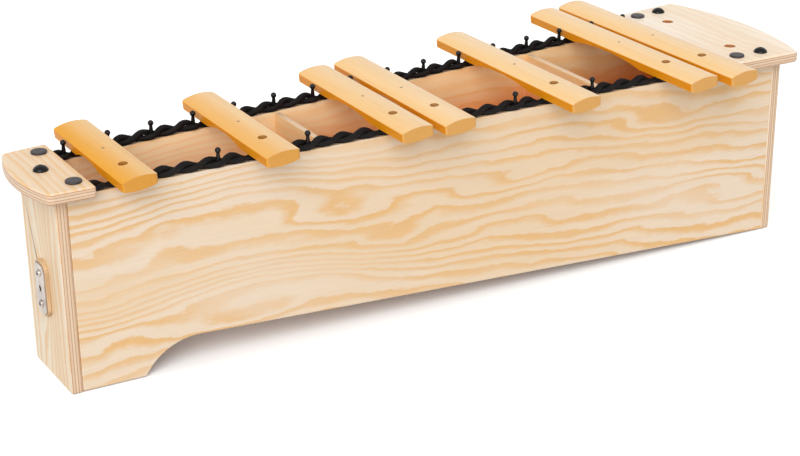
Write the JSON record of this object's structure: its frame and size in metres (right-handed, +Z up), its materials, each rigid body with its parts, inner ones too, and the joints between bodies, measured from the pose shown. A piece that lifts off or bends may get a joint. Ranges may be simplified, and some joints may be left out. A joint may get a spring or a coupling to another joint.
{
  "type": "chromatic bar xylophone",
  "caption": "Tapered plywood resonator box with arched foot and bowed end caps, carrying loose wooden tone bars on twisted cords between pegs; the bars lift off.",
  "frame": {"origin": "on the floor, under the middle of the instrument's overall length and width", "axes": "+X along the length towards the wide (low) end, +Y away from the player, +Z up"},
  "size_m": [0.885, 0.3102, 0.2245],
  "materials": {
    "plywood": "satin lacquer",
    "inner_board": "bare",
    "bar_wood": "satin lacquer",
    "cord": "matte",
    "peg_black": "semi-gloss",
    "plug_grey": "matte",
    "screw_black": "gloss",
    "pad_brown": "stained",
    "nickel": "satin"
  },
  "bodies": {
    "resonator": {"end_panel_narrow": "plywood", "end_panel_wide": "plywood", "side_panel_front": "plywood", "side_panel_back": "plywood", "bottom_board": "inner_board", "divider_narrow": "inner_board", "divider_wide": "inner_board", "end_cap_narrow": "plywood", "end_cap_wide": "plywood", "cord_front": "cord", "cord_back": "cord", "pegs_front": "peg_black", "pegs_back": "peg_black", "cord_plugs_narrow": "plug_grey", "cord_plugs_wide": "plug_grey", "cap_screw_narrow": "screw_black", "cap_screws_wide": "screw_black", "coupling_pad": "pad_brown", "coupling_plate": "nickel", "coupling_screws": "nickel"},
    "bar_1": {"bar_1": "bar_wood"},
    "bar_2": {"bar_2": "bar_wood"},
    "bar_3": {"bar_3": "bar_wood"},
    "bar_4": {"bar_4": "bar_wood"},
    "bar_5": {"bar_5": "bar_wood"},
    "bar_6": {"bar_6": "bar_wood"},
    "bar_7": {"bar_7": "bar_wood"}
  },
  "joints": [
    {"name": "bar_1_lift", "type": "slide", "parent": "resonator", "child": "bar_1", "axis": [0, 0, 1], "range_m": [0, 0.05]},
    {"name": "bar_2_lift", "type": "slide", "parent": "resonator", "child": "bar_2", "axis": [0, 0, 1], "range_m": [0, 0.05]},
    {"name": "bar_3_lift", "type": "slide", "parent": "resonator", "child": "bar_3", "axis": [0, 0, 1], "range_m": [0, 0.05]},
    {"name": "bar_4_lift", "type": "slide", "parent": "resonator", "child": "bar_4", "axis": [0, 0, 1], "range_m": [0, 0.05]},
    {"name": "bar_5_lift", "type": "slide", "parent": "resonator", "child": "bar_5", "axis": [0, 0, 1], "range_m": [0, 0.05]},
    {"name": "bar_6_lift", "type": "slide", "parent": "resonator", "child": "bar_6", "axis": [0, 0, 1], "range_m": [0, 0.05]},
    {"name": "bar_7_lift", "type": "slide", "parent": "resonator", "child": "bar_7", "axis": [0, 0, 1], "range_m": [0, 0.05]}
  ]
}
